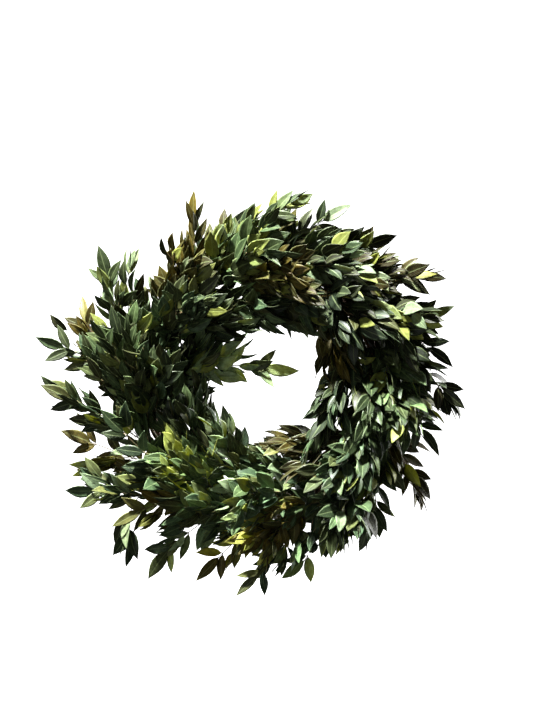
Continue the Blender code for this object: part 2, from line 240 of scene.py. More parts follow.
# Undersides: how far those of olive leaves and of others turn brown, and how much brighter they are
OLIVE_BACK = 0.65
GREEN_BACK = 0.22
BACK_MIX = (0.3, 1)
BACK_GAIN = 1.1

# Light that shines through a leaf: the most, and how it grows with the red in the leaf's colour
MOST_GLOW = 0.35
GLOW = 1.8
GLOW_POWER = 1.5

# How pale or dark sprays are for their tone: partly their own tone, partly painted light and shade, which
# darkens sprays at the upper right and lightens those at the bottom
SPRAY_TONE_AND_PAINTED_LIGHT = {"hole_spray": 1.5} | by_node(
    front={1: 0.72, 2: 0.46, 3: 0.3, 4: 1.15, 5: 1.25, 6: 2.35, 7: 1.85, 8: 1.2, 9: 0.6, 10: 0.76},
    middle={1: 0.88, 2: 0.42, 3: 0.66, 4: 1.42, 5: 2.5, 6: 1.75},
    inner={3: 0.95, 4: 0.8, 5: 0.5, 6: 1.7, 7: 1.4, 8: 1.15},
    outer={
        2: 0.6, 3: 0.62, 4: 0.75, 5: 0.42, 6: 0.32, 7: 0.3, 8: 0.3, 9: 0.45, 10: 1.15, 12: 1.2,
        13: 1.15, 14: 1.5, 15: 1.9, 16: 2.4, 17: 2.2, 18: 1.4, 19: 1.2, 20: 1.2, 21: 1.15, 24: 0.6,
    },
)

# Places between sprays that stay open, in millimetres: right of and above the ring's centre, and their
# radius
OPEN_PLACES = tuple(
    (Vector((right * MM, up * MM)), radius * MM)
    for right, up, radius in (
        (-228, -80, 16), (-189, -83, 22), (-151, 178, 19), (-80, 240, 13), (-135, 228, 8),
        (-184, -175, 16), (-146, -175, 12), (-104, -213, 14), (175, -165, 17), (238, -64, 13),
        (64, -262, 14), (252, 52, 14), (-290, 70, 13), (-225, -28, 12), (-252, 4, 10),
        (-222, 88, 8), (251, -10, 10), (217, -104, 11), (211, -78, 8), (68, -202, 10),
        (42, -223, 8), (-57, -235, 12), (-35, -249, 9), (61, 236, 10), (160, 204, 9),
        (-100, 196, 8), (62, 62, 13),
    )
)

# Twigs that fill places beside the frame's sprays: the share of the stem where one grows, how far it points
# right, up and towards the viewer, and its length in millimetres
FILLING_TWIGS = by_node(
    front={10: ((0.25, -0.35, 1, -0.1, 60),)},
    middle={
        3: ((0.3, -0.55, -1, 0, 80), (0.7, -0.6, -1, 0.1, 70)),
        6: ((0.45, -0.45, 1, 0.5, 60), (0.25, -0.3, 1, 0.5, 55)),
        8: ((0.08, -0.25, 1, 0, 88),),
    },
    inner={
        1: ((0.35, 1, -0.55, 0, 60), (0.75, 1, -0.45, 0, 56)),
        2: ((0.35, 0.9, -0.8, 0, 55),),
        3: ((0.6, 0.1, -1, 0.1, 62), (0.9, -0.1, -1, 0.1, 60)),
        4: (
            (0.35, -0.35, -1, 0, 70), (0.6, -0.45, -1, 0.1, 72), (0.9, -0.4, -1, 0, 62),
            (0.75, -0.75, -1, 0.15, 55), (0.95, -0.5, -1, 0.05, 92), (0.98, -0.3, -1, -0.15, 80),
            (0.66, -0.6, -1, 0.2, 66),
        ),
        5: ((0.3, -1, 0.15, 0, 80), (0.6, -1, 0.2, 0, 70), (0.9, -1, 0.1, 0, 62)),
        6: (
            (0.35, -1, 0.4, 0, 62), (0.6, -1, 0.5, 0.1, 62), (0.9, -1, 0.55, 0, 60),
            (0.75, -0.2, 1, 0, 42),
        ),
        7: ((0.5, -0.6, 1, 0, 58), (0.85, -0.5, 1, 0.1, 58)),
        8: ((0.5, 0.15, 1, 0, 60), (0.85, 0.1, 1, 0.1, 60)),
        9: (
            (0.35, 0.55, 1, 0, 58), (0.7, 0.6, 1, 0, 56), (0.95, 0.5, 1, 0, 56),
            (0.55, 1, 0.25, 0.1, 40),
        ),
        10: ((0.45, 0.9, -0.35, 0, 62), (0.75, 1, 0.05, 0.1, 60)),
    },
    outer={
        3: ((0.9, 0.9, 0.5, 0, 40),),
        6: ((0.85, 1, -0.05, 0, 40),),
        9: ((0.9, 0.6, -1, 0, 30),),
        11: ((0.9, 0.35, -1, 0, 35),),
        12: ((0.9, -0.3, -1, 0, 40),),
        19: ((0.65, -0.1, -1, 0, 66), (0.72, -1, 0.55, 0.1, 48)),
        20: ((0.6, -1, -0.35, 0, 55),),
        21: ((0.8, -0.9, 0.6, 0, 45),),
        23: ((0.8, -1, 0.35, 0, 50),),
        24: ((0.2, 0.1, 1, 0.1, 90), (0.45, 0.25, 1, 0.2, 70), (0.62, 0.25, 1, 0.2, 80)),
    },
)
FILLING_TWIGS["hole_spray"] = (
    (0.12, 0.35, 1, 0, 60), (0.25, 0.8, 0.6, 0, 60), (0.45, 1, 0.25, 0.1, 40),
    (0.62, 1, -0.1, 0.2, 40), (0.78, 1, 0.2, 0.2, 32),
)

# Steps between rings, and a twig's radius at its foot and how much less at its tip, in radii of a stem's tip
STEM_STEP = 6 * MM
TWIG_STEP = 8 * MM
VINE_STEP = 4 * MM
TWIG_RADII = (1.25, 0.5)

# A vine's girth for the frame's, its slow waves, and its knots
VINE_GIRTH = 0.9
VINE_WAVE = 0.04
WAVES = 60
KNOTS = 14
KNOT_LENGTH = 0.006
KNOT_RISE = 0.16

# The backdrop: its wall, the fold between floor and wall, and the steps round it and through the fold
WALL_HEIGHT = 6.0
WALL_FOLD = 0.8
WALL_SIDES = 64
FOLD_STEPS = 16

# A strong small light at the upper left, weak wide ones at the top and the lower left, and a wide one behind
# on the right: where they stand from the ring's centre, and their size
LIGHTS = {
    "key": ((-0.9, -0.95, 2.45), 0.25),
    "top": ((-0.6, -0.3, 2.4), 1.8),
    "fill": ((-1.6, -2.6, -0.5), 2.0),
    "back": ((2.4, 1.6, 0.9), 2.5),
}

# The faint sky, and where the camera stands from the ring's centre
SKY_COLOUR = (0.9, 0.92, 0.84, 1)
SKY_STRENGTH = 0.065
CAMERA_RIGHT = 3.6 * MM
CAMERA_RAISE = 44 * MM


def length_setting(name, description, default):
    return bpy.props.FloatProperty(name=name, description=description, default=default, unit="LENGTH")


def colour_setting(name, description, default):
    return bpy.props.FloatVectorProperty(name=name, description=description, default=default, subtype="COLOR")


def power_setting(name, description, default):
    return bpy.props.FloatProperty(name=name, description=description, default=default, unit="POWER")


class WreathLeafSettings(bpy.types.PropertyGroup):
    """Sizes of leaves, stems and twigs."""

    length: length_setting("Leaf length", "Length of a full-grown leaf", 50 * MM)
    thickness: length_setting("Leaf thickness", "Thickness of a leaf at its rib", 0.5 * MM)
    spacing: length_setting("Pair spacing", "Distance between pairs of leaves", 16 * MM)
    stem_radius: length_setting("Stem radius", "Radius of a stem at its foot", 1.3 * MM)
    tip_radius: length_setting("Stem tip radius", "Radius of a stem at its tip", 0.6 * MM)
    twigs: bpy.props.IntProperty(name="Twigs", description="Side twigs on each spray", default=8, min=0)
    twig_length: length_setting("Twig length", "Length of a side twig", 60 * MM)


class WreathColourSettings(bpy.types.PropertyGroup):
    """Colours of foliage, stems and bark."""

    deep: colour_setting("Deep green", "Full-grown leaves", (0.043, 0.078, 0.038))
    olive: colour_setting("Olive", "Leaves turning brown", (0.115, 0.082, 0.009))
    light: colour_setting("Light green", "Young leaves", (0.097, 0.16, 0.056))
    fresh: colour_setting("Fresh yellow", "The newest leaves", (0.265, 0.298, 0.062))
    # Pale is painted light: the colour of a leaf that stands in full light
    pale: colour_setting("Pale", "Leaves with a washed-out face", (0.25, 0.335, 0.19))
    brown: colour_setting("Brown", "Undersides of turning leaves", (0.125, 0.064, 0.009))
    stem: colour_setting("Stem", "Stems and twigs", (0.24, 0.17, 0.085))
    bark: colour_setting("Bark", "Bark of the vines", (0.16, 0.085, 0.05))


class WreathStageSettings(bpy.types.PropertyGroup):
    """Floor, lights and camera."""

    floor_height: length_setting("Floor", "Height of the floor from the hanging point", -0.8)
    wall_distance: length_setting("Wall", "Distance of the wall round the wreath", 5.0)
    key_power: power_setting("Key light", "Strong small light at the upper left", 700)
    top_power: power_setting("Top light", "Weak wide light above", 12)
    fill_power: power_setting("Fill light", "Weak wide light at the lower left", 17)
    back_power: power_setting("Back light", "Wide light behind on the right", 260)
    camera_distance: length_setting("Camera distance", "From the lens to the wreath", 3.2)
    view_height: length_setting("View height", "Height that the picture spans at the wreath", 1.031)


class Link:
    """A shader socket that takes part in Python expressions, each of which adds a Math node."""

    def __init__(self, finish, socket):
        self.finish, self.socket = finish, socket

    def output(self, name):
        """Another output of the same node."""
        return Link(self.finish, self.socket.node.outputs[name])

    def math(self, operation, *values):
        return self.finish.node("ShaderNodeMath", {"operation": operation}, dict(enumerate(values)))

    def __add__(self, other):
        return self.math("ADD", self, other)

    def __mul__(self, other):
        return self.math("MULTIPLY", self, other)

    def __sub__(self, other):
        return self.math("SUBTRACT", self, other)

    def step(self, low, high):
        """0 below `low` and 1 above `high`, smooth between. The other way round if `low` is greater."""
        (low, first), (high, last) = sorted(((low, 0), (high, 1)))
        values = {"Value": self, "From Min": low, "From Max": high, "To Min": first, "To Max": last}
        return self.finish.node("ShaderNodeMapRange", {"interpolation_type": "SMOOTHSTEP"}, values)


class Finish:
    """A material under construction: nodes are added by `node` and joined by the values given to it."""

    def __init__(self, name):
        self.material = bpy.data.materials.new(name)
        self.material.use_nodes = True
        self.tree = self.material.node_tree
        self.shader = self.tree.nodes["Principled BSDF"]

    def node(self, kind, settings=None, values=None, output=0):
        """Adds a node, sets its settings first, and then its sockets to numbers, colours or links."""
        made = self.tree.nodes.new(kind)
        for name, value in (settings or {}).items():
            setattr(made, name, value)
        self.fill(made, values or {})
        return Link(self, made.outputs[output])

    def fill(self, node, values):
        for name, value in values.items():
            socket = node.inputs[name]
            if isinstance(value, Link):
                self.tree.links.new(value.socket, socket)
            elif hasattr(socket.default_value, "__len__") and len(value) < len(socket.default_value):
                socket.default_value = (*value, 1)
            else:
                socket.default_value = value

    def coordinates(self):
        """The surface's place in its object's own metres."""
        return self.node("ShaderNodeTexCoord", output="Object")

    def noise(self, place, scale, detail=2.0, roughness=0.5):
        values = {"Vector": place, "Scale": scale, "Detail": detail, "Roughness": roughness}
        return self.node("ShaderNodeTexNoise", values=values)

    def mix(self, share, first, second):
        """Colours mixed: all of the first at share 0, all of the second at 1."""
        return self.node("ShaderNodeMix", {"data_type": "RGBA"}, {0: share, 6: first, 7: second}, output=2)

    def bump(self, height, distance, strength):
        values = {"Height": height, "Distance": distance, "Strength": strength}
        return self.node("ShaderNodeBump", values=values)

    def shine_through(self, share, colour):
        """Lets light through the surface, tinted by the colour, in place of a share of the shader."""
        thin = self.node("ShaderNodeBsdfTranslucent", values={"Color": colour})
        values = {0: share, 1: Link(self, self.shader.outputs[0]), 2: thin}
        both = self.node("ShaderNodeMixShader", values=values)
        self.tree.links.new(both.socket, self.tree.nodes["Material Output"].inputs["Surface"])

    def dress(self, **values):
        """Sets the shader's sockets, named with underscores for spaces."""
        self.fill(self.shader, {name.replace("_", " "): value for name, value in values.items()})
        return self.material


@functools.cache
def leaf_finish():
    """Leaf skin: each leaf's own colour, paler along rib and veins, with a painted highlight along the
    margin, mottled, with a soft gloss.
    """
    finish = Finish("myrtle_leaf")
    spot = finish.node("ShaderNodeUVMap", {"uv_map": "leaf"})
    along = finish.node("ShaderNodeSeparateXYZ", values={"Vector": spot})
    across = along.output("Y")
    side = across.math("ABSOLUTE", across * 2 - 1)
    rib = side.step(0.12, 0.03)
    wave = along.math("SINE", (along - side * 0.22) * 75)
    vein = wave.step(0.82, 1.0) * side.step(1.0, 0.75)
    # A painted highlight along the leaf's edge, mixed in below towards the same pale colour as the rib and
    # veins
    margin = side.step(0.88, 0.99)
    place = finish.coordinates()
    mottle = finish.noise(place, scale=160, detail=4, roughness=0.6)
    grain = finish.noise(place, scale=1400)
    colour = finish.node("ShaderNodeAttribute", {"attribute_name": "leaf_colour"})
    dark = finish.mix(0.55, colour, (0.0, 0.0, 0.0))
    pale = finish.mix(0.27, colour, (0.54, 0.68, 0.3))
    skin = finish.mix(mottle.step(0.34, 0.68) * 0.75, dark, colour)
    skin = finish.mix(rib * 0.5 + vein * 0.15 + margin * 0.52, skin, pale)
    relief = grain * 0.3 + mottle * 0.7 - rib * 0.9 - vein * 0.45
    normal = finish.bump(relief, distance=0.35 * MM, strength=0.7)
    finish.shine_through(colour.output("Alpha"), (0.5, 0.52, 0.07))
    finish.dress(Base_Color=skin, Roughness=mottle * 0.22 + 0.36, Normal=normal)
    return finish.dress(Coat_Weight=0.05, Coat_Roughness=0.28, IOR=1.28)


@functools.cache
def stem_finish():
    """Young bark: tan green, blotched darker."""
    finish = Finish("myrtle_stem")
    blotch = finish.noise(finish.coordinates(), scale=220, detail=3)
    shade = finish.mix(blotch.step(0.35, 0.7), bpy.context.scene.wreath_colours.stem, (0.1, 0.11, 0.04))
    normal = finish.bump(blotch, distance=0.2 * MM, strength=0.5)
    return finish.dress(Base_Color=shade, Roughness=0.6, Normal=normal)


@functools.cache
def bark_finish():
    """Dry vine bark: long cracked strips of light and dark brown."""
    bark = bpy.context.scene.wreath_colours.bark
    finish = Finish("vine_bark")
    place = finish.coordinates()
    strips = finish.noise(place, scale=320, detail=6, roughness=0.7)
    patches = finish.noise(place, scale=45, detail=3)
    dark = finish.mix(0.65, bark, (0.0, 0.0, 0.0))
    pale = finish.mix(0.35, bark, (0.42, 0.33, 0.24))
    tone = finish.mix(patches.step(0.35, 0.7), bark, pale)
    tone = finish.mix(strips.step(0.62, 0.4), tone, dark)
    normal = finish.bump(strips, distance=0.8 * MM, strength=0.8)
    return finish.dress(Base_Color=tone, Roughness=0.85, Normal=normal)


def sound_copy(node):
    """The node's mesh with its loose triangles joined."""
    shape = bmesh.new()
    shape.from_mesh(frame["nodes"][node].data)
    bmesh.ops.remove_doubles(shape, verts=shape.verts, dist=WELD)
    return shape


def linked(points):
    """The points joined by an edge to any of these."""
    return {edge.other_vert(point) for point in points for edge in point.link_edges}


def middle_of(points):
    """The middle of some points, which are added up in a fixed order, so that every run gives the same."""
    places = sorted(tuple(point.co) for point in points)
    return sum((Vector(place) for place in places), Vector()) / len(points)


def ring_line(points, link):
    """The rings that the points form, in order along their tube."""
    rings = []
    left = set(points)
    while left:
        ring = [left.pop()]
        for point in ring:
            for edge in point.link_edges:
                other = edge.other_vert(point)
                if other in left and edge.calc_length() < link:
                    left.remove(other)
                    ring.append(other)
        rings.append(set(ring))
    rings.sort(key=lambda ring: tuple(middle_of(ring)))
    ends = [ring for ring in rings if sum(not linked(ring).isdisjoint(other) for other in rings) == 2]
    line, rest = [ends[0]], [ring for ring in rings if ring is not ends[0]]
    while rest:
        step = next((ring for ring in rest if not linked(line[-1]).isdisjoint(ring)), None)
        if step is None:
            raise RuntimeError("a stem of the frame is broken")
        line.append(step)
        rest.remove(step)
    return line


def smooth_line(points, distances):
    """Places and headings at some distances along a smooth line through the points."""
    points = np.array(points, float)
    marks = np.concatenate(([0], np.cumsum(np.linalg.norm(np.diff(points, axis=0), axis=1))))
    slopes = np.gradient(points, marks, axis=0)
    distances = np.clip(np.atleast_1d(distances), 0, marks[-1])
    index = np.clip(np.searchsorted(marks, distances, side="right") - 1, 0, len(marks) - 2)
    width = (marks[index + 1] - marks[index])[:, None]
    share = (distances - marks[index])[:, None] / width
    start, end = points[index], points[index + 1]
    rise, fall = slopes[index] * width, slopes[index + 1] * width
    places = (
        (2 * share**3 - 3 * share**2 + 1) * start
        + (share**3 - 2 * share**2 + share) * rise
        + (3 * share**2 - 2 * share**3) * end
        + (share**3 - share**2) * fall
    )
    headings = (1 - share) * slopes[index] + share * slopes[index + 1]
    headings /= np.linalg.norm(headings, axis=1)[:, None]
    return places, headings


def line_length(points):
    return float(np.linalg.norm(np.diff(np.array(points, float), axis=0), axis=1).sum())


def square_to(axis, way):
    """The part of a way that is square to an axis, at length 1."""
    return (way - way.dot(axis) * axis).normalized()


class Leaf:
    """Where one leaf grows from, where it points, which way its face looks, its length, bends and colours."""

    def __init__(self, root, tip, facing, dice, spread=1.0):
        self.root = root
        self.length = (tip - root).length
        self.along = (tip - root).normalized()
        self.up = square_to(self.along, facing)
        self.across = self.up.cross(self.along)
        self.width = dice.uniform(*LEAF_WIDTHS)
        self.fold = LEAF_FOLD + spread * dice.uniform(*FOLD_RANGE)
        self.arch = LEAF_ARCH + spread * dice.uniform(*ARCH_RANGE)
        self.bow = spread * dice.uniform(-MOST_BOW, MOST_BOW)
        self.wave = spread * dice.uniform(0, MOST_WAVE)
        self.phase = dice.uniform(0, math.tau)
        self.twist = spread * dice.gauss(0, TWIST)
        self.colour = self.back = (0, 0, 0, 0)

    def place(self, along, across):
        return self.root + self.length * (along * self.along + across * self.across)

    def sheet(self):
        """The corners of the leaf's outline as one flat face beyond its stalk, for crossing tests."""
        return [self.place(along, across * self.width) for along, across in SHEET]

    def tree(self):
        return BVHTree.FromPolygons(self.sheet(), [range(len(SHEET))])

    def points(self, pattern, thickness):
        """The pattern's points moved to this leaf: folded along the rib, arched, waved and twisted."""
        along, across, lift = pattern.T
        side = np.abs(across)
        up = lift * thickness / self.length + self.fold * side**FOLD_CURVE
        up = up + self.arch * (along - along**2)
        up = up + self.wave * side * np.sin(WAVE_RATE * along + self.phase + np.sign(across) * WAVE_LAG)
        turn = self.twist * along
        flat = across * self.width + self.bow * (along - along**2)
        turned = flat * np.cos(turn) - up * np.sin(turn), flat * np.sin(turn) + up * np.cos(turn)
        axes = np.array((self.along, self.across, self.up))
        return np.array(self.root) + self.length * np.stack((along, *turned), 1) @ axes


class Thicket:
    """All leaves that stand so far, so that the next one finds its room."""

    def __init__(self):
        self.cells = {}
        self.vines = [BVHTree.FromBMesh(sound_copy(name)) for name in vine_nodes()]

    def key(self, point):
        return tuple(math.floor(value / CELL) for value in point)

    def add(self, leaf):
        self.cells.setdefault(self.key(leaf.place(0.5, 0)), []).append(leaf.tree())

    def crosses(self, leaf):
        """Whether a leaf would cut through any that stand."""
        x, y, z = self.key(leaf.place(0.5, 0))
        tree = leaf.tree()
        cells = [(x + i - 1, y + j - 1, z + k - 1) for i, j, k in np.ndindex(3, 3, 3)]
        return any(tree.overlap(other) for cell in cells for other in self.cells.get(cell, ()))

    def fits(self, leaf, node):
        """Whether a spray's leaf keeps out of hole, open places and vines, and in the frame's box."""
        in_hole = in_opening if node == "hole_spray" else in_clear_hole
        for point in leaf.sheet() + [leaf.place(share, 0) for share in RIB_SHARES]:
            if not in_box(point, BOX_MARGIN) or in_hole(point) or in_open_place(point):
                return False
        tree = leaf.tree()
        return not any(tree.overlap(vine) for vine in self.vines)


def in_open_place(point):
    """Whether a point lies in a place between the sprays that stays open."""
    seen = (point - RING_CENTRE).xz
    return any((seen - middle).length < radius for middle, radius in OPEN_PLACES)


def in_box(point, margin):
    """Whether a point lies in the frame's box, or at most the margin outside it."""
    return all(low - margin < value < high + margin for value, low, high in zip(point, FRAME_LOW, FRAME_HIGH))


def in_opening(point, margin=0.0):
    """Whether a point lies in the box of the record's opening, or at most the margin outside it."""
    low, high = frame["record"]["physics"]["openings"][0]["box_m"]
    return low[0] - margin < point.x < high[0] + margin and low[2] - margin < point.z < high[2] + margin


def in_clear_hole(point):
    """Whether a point lies in the round part of the hole, but for its lower right beside the opening."""
    right, up = (point - HOLE_MIDDLE).xz
    if math.hypot(right, up) > HOLE_RADIUS:
        return False
    return right < 0 or up > CORNER_TOP or in_opening(point, BOX_MARGIN)


def vine_nodes():
    return sorted(name for name in frame["nodes"] if name.startswith("vine_"))


def spray_nodes(prefix=""):
    return sorted(name for name in frame["nodes"] if name.startswith(prefix) and "spray" in name)


def slot_of(node):
    return next(part["material_slot"] for part in frame["record"]["subparts"] if part["node"] == node)


class Spray:
    """One spray of the frame, read back from its node: the line of its stem, its leaves and how they face."""

    def __init__(self, node):
        self.node = node
        self.slim = node == SLIM_SPRAY
        self.outer = node.startswith("outer_spray")
        self.broad = BROAD if node.startswith(BROAD_SPRAYS) else 1
        self.tone = slot_of(node).split("_")[0]
        self.dice = random.Random(node)
        self.leaves = []
        self.twigs = []
        shape = sound_copy(node)
        used = set()
        blades = []
        for tip in shape.verts:
            upper = linked([tip])
            if len(upper) != 6 or not self.is_blade(upper):
                continue
            lower = linked(upper) - upper - {tip}
            blades.append((middle_of(linked(lower) - upper - lower), tip.co.copy(), self.fold_of(lower)))
            used |= {tip} | upper | lower
        rings = ring_line([point for point in shape.verts if point not in used], STEM_RING_LINK)
        self.line = [middle_of(ring) for ring in rings]
        if self.girth(rings[0]) < self.girth(rings[-1]):
            self.line.reverse()
        self.facing = sum((up for root, tip, up in blades), Vector()).normalized()
        self.length = line_length(self.line)
        self.stations, _ = smooth_line(self.line, np.linspace(0, self.length, STATIONS))
        for root, tip, up in blades:
            root = self.on_stem(root)
            longer = root.lerp(tip, OWN_LENGTH)
            tip = longer if in_box(longer, 0) else tip
            if self.slim:
                way = (tip - root).normalized().lerp((self.line[-1] - self.line[0]).normalized(), SLIM_DRAW)
                tip = root + (tip - root).length * way.normalized()
            leaf = Leaf(root, tip, up, self.dice, OWN_SPREAD)
            leaf.width *= SLIM_WIDTH if self.slim else OWN_WIDTH
            leaf.width *= self.broad
            self.leaves.append(leaf)
        shape.free()

    def is_blade(self, points):
        """Whether six points lie in three pairs, a blade's thickness apart."""
        gaps = (min((one.co - other.co).length for other in points if other is not one) for one in points)
        return max(gaps) < BLADE_SLACK * BLADE_THICKNESS

    def fold_of(self, points):
        """The way a blade's face looks: from its rib to the middle between its two edges."""
        middle = middle_of(points)
        nearest = sorted(points, key=lambda point: ((point.co - middle).length, *point.co))
        return (middle_of(nearest[2:]) - middle_of(nearest[:2])).normalized()

    def girth(self, ring):
        middle = middle_of(ring)
        return math.fsum((point.co - middle).length for point in ring)

    def on_stem(self, root):
        """A leaf's root moved most of the way to the stem's middle line."""
        nearest = min((Vector(place) for place in self.stations), key=lambda place: (place - root).length)
        return root.lerp(nearest, ROOT_SINK)


@functools.cache
def planting():
    """The thicket with all of the frame's own leaves, and the sprays by node."""
    thicket = Thicket()
    sprays = {node: Spray(node) for node in spray_nodes()}
    for spray in sprays.values():
        for leaf in spray.leaves:
            thicket.add(leaf)
    return thicket, sprays


def colour_leaf(leaf, spray, youth):
    """Gives both sides of a leaf colour and glow, with painted light and shade from its spray, and painted
    light on fresh and pale leaves. `youth` runs from 0 at the stem's foot to 1 at its tip.
    """
    colours = bpy.context.scene.wreath_colours
    tone, dice = spray.tone, spray.dice
    base = Vector(getattr(colours, tone))
    other = Vector(colours.deep if tone != "deep" else colours.light)
    base = base.lerp(other, dice.random() ** 2 * TONE_DRIFT)
    if tone != "olive":
        chance = dice.random()
        turned = chance**3 * OLIVE_DRIFT
        if spray.outer and spray.node not in GREEN_TIPS:
            turned += BRONZE * chance * youth**2
        base = base.lerp(Vector(colours.olive), turned)
    brightness = DIMMEST + (BRIGHTEST - DIMMEST) * dice.random() ** DIM_POWER
    # The spray's paleness or darkness, in part painted light and shade
    shade = SPRAY_TONE_AND_PAINTED_LIGHT.get(spray.node, 1.0)
    fresh = FRESH_SPRAYS.get(spray.node, FRESH[tone]) * (FRESH_FOOT + youth)
    pale = PALE_PAINTED_LIGHT_SPRAYS.get(spray.node, PALE_PAINTED_LIGHT_SHARE)
    # Fresh and pale leaves get painted light: a least brightness, and only part of a dark spray's painted
    # shade
    for share, colour, reach, least_painted_light in (
        (fresh, colours.fresh, FRESH_MIX, LEAST_FRESH_PAINTED_LIGHT),
        (pale, colours.pale, PALE_PAINTED_LIGHT_MIX, LEAST_PALE_PAINTED_LIGHT),
    ):
        if dice.random() < share:
            base = base.lerp(Vector(colour), dice.uniform(*reach))
            brightness = max(brightness, least_painted_light)
            shade = max(shade, LEAST_PAINTED_SHADE)
    base *= brightness * shade
    turning = OLIVE_BACK if tone == "olive" else GREEN_BACK
    back = base.lerp(Vector(colours.brown), turning * dice.uniform(*BACK_MIX))
    glow = min(MOST_GLOW, GLOW * base.x**GLOW_POWER)
    leaf.colour, leaf.back = (*base, glow), (*(back * BACK_GAIN), glow)


def grow_leaf(thicket, spray, root, heading, side, face, size, youth):
    """Adds the first of a few tries at a leaf that has room and crosses no other, if one does."""
    dice = spray.dice
    narrow = dice.random() < NARROW_SHARE
    for attempt in range(LEAF_TRIES):
        splay = dice.uniform(*(SLIM_SPLAY if spray.slim else SPLAY))
        splay = math.radians(splay + TRY_SPLAY * attempt * dice.uniform(-1, 1))
        direction = math.cos(splay) * heading + math.sin(splay) * side
        direction += TRY_LIFT * attempt * dice.uniform(-1, 1) * face
        facing = face + dice.uniform(-TILT, TILT) * heading.cross(face) + dice.uniform(*NOD) * heading
        length = size * LEAF_SIZES.get(spray.node, 1.0) * dice.uniform(*LEAF_LENGTHS)
        length *= 1 - TRY_LESS * attempt
        leaf = Leaf(root, root + length * direction.normalized(), facing, dice)
        if narrow:
            leaf.width *= dice.uniform(*NARROW)
        if spray.slim:
            leaf.width *= SLIM_WIDTH
        leaf.width *= spray.broad
        if thicket.fits(leaf, spray.node) and not thicket.crosses(leaf):
            thicket.add(leaf)
            colour_leaf(leaf, spray, youth)
            spray.leaves.append(leaf)
            return


def grow_pairs(thicket, spray, line, first, sizes, rolls, taken=()):
    """Pairs of leaves along a line, each pair rolled on from the last, but none where one grows already."""
    sizing = bpy.context.scene.wreath_leaves
    length = line_length(line)
    distances = np.arange(first, length, sizing.spacing).tolist()
    places, headings = smooth_line(line, distances)
    for index, (distance, place, heading) in enumerate(zip(distances, places, headings)):
        if any(abs(distance - mark) < PAIR_ROOM * sizing.spacing for mark in taken):
            continue
        root, heading = Vector(place), Vector(heading)
        face = square_to(heading, spray.facing)
        roll = math.radians(rolls[index % len(rolls)] + spray.dice.uniform(*ROLL_RANGE))
        youth = distance / length
        size = sizing.length * (sizes[0] + (sizes[1] - sizes[0]) * youth)
        for hand in (-1, 1):
            side = Matrix.Rotation(roll, 3, heading) @ (hand * heading.cross(face))
            grow_leaf(thicket, spray, root, heading, side, face, size, youth)


def grow_twig(thicket, spray, distance, toward, length=None):
    """A side twig with its leaves. It leans the given way, or points there if its length is given too."""
    sizing = bpy.context.scene.wreath_leaves
    dice = spray.dice
    (place,), (heading,) = smooth_line(spray.line, distance)
    foot, heading = Vector(place), Vector(heading)
    face = square_to(heading, spray.facing)
    side = square_to(heading, toward)
    if length is None:
        low, high = TWIG_PARTS
        length = sizing.twig_length * dice.uniform(*TWIG_LENGTHS)
        if spray.outer:
            length *= float(np.interp(distance / spray.length, OUTER_TWIG_SHARES, OUTER_TWIG_SIZES))
        lean = math.radians(dice.uniform(*TWIG_LEAN))
        start = math.cos(lean) * heading + math.sin(lean) * side
        end = (TWIG_TURN[0] * start + TWIG_TURN[1] * heading).normalized()
    else:
        low, high = FILLING_PARTS
        end = toward.normalized()
        start = (end + FILLING_TURN * heading).normalized()
    bend = foot + start * (low * length)
    tip = bend + end * (high * length)
    if not in_box(tip, 0) or in_clear_hole(tip):
        return
    before = len(spray.leaves)
    grow_pairs(thicket, spray, [foot, bend, tip], TWIG_FOOT * length, TWIG_SIZES, TWIG_ROLLS)
    end = (tip - bend).normalized()
    grow_leaf(thicket, spray, tip, end, END_SIDE * side, face, END_LEAF * sizing.length, 1)
    grow_shoots(thicket, spray, tip, end, face)
    if len(spray.leaves) > before + 1:
        spray.twigs.append([foot, bend, tip])


def grow_shoots(thicket, spray, root, heading, face):
    """Thin new blades at the end of a twig."""
    dice = spray.dice
    full = bpy.context.scene.wreath_leaves.length
    for _ in range(dice.randint(0, MOST_SHOOTS)):
        side = Matrix.Rotation(dice.uniform(0, math.tau), 3, heading) @ heading.cross(face)
        direction = (heading + dice.uniform(*SHOOT_SPREAD) * side).normalized()
        leaf = Leaf(root, root + dice.uniform(*SHOOT_LENGTH) * full * direction, face, dice)
        leaf.width *= dice.uniform(*SHOOT_WIDTH)
        if thicket.fits(leaf, spray.node):
            colour_leaf(leaf, spray, 1)
            spray.leaves.append(leaf)


def twig_way(spray, share, index):
    """The way a side twig leans: left and right in turn, but every other one by the hole leans inwards."""
    (place,), (heading,) = smooth_line(spray.line, share * spray.length)
    heading = Vector(heading)
    if spray.node.startswith("inner_spray") and index % 2:
        return HOLE_MIDDLE - Vector(place)
    hand = 1 if index % 2 else -1
    roll = math.radians(spray.dice.uniform(*TWIG_ROLL) * hand)
    return Matrix.Rotation(roll, 3, heading) @ (hand * heading.cross(spray.facing))


def grow_spray(thicket, spray):
    """Colours the frame's own leaves, and adds further pairs between them and side twigs."""
    marks = []
    for leaf in spray.leaves:
        nearest = np.argmin(np.linalg.norm(spray.stations - np.array(leaf.root), axis=1))
        marks.append(float(spray.length * nearest / (STATIONS - 1)))
        colour_leaf(leaf, spray, marks[-1] / spray.length)
    grow_pairs(thicket, spray, spray.line, STEM_FOOT * spray.length, STEM_SIZES, STEM_ROLLS, marks)
    for share, right, up, near, length in FILLING_TWIGS.get(spray.node, ()):
        grow_twig(thicket, spray, share * spray.length, Vector((right, -near, up)), length * MM)
    low, high = OUTER_TWIG_SHARES if spray.outer else TWIG_SHARES
    if spray.slim:
        high = SLIM_TWIGS
    count = bpy.context.scene.wreath_leaves.twigs
    if spray.node.startswith(("inner_spray", "middle_spray")):
        count += MORE_TWIGS
    for index in range(count):
        share = low + (high - low) * (index + spray.dice.random()) / count
        grow_twig(thicket, spray, share * spray.length, twig_way(spray, share, index))


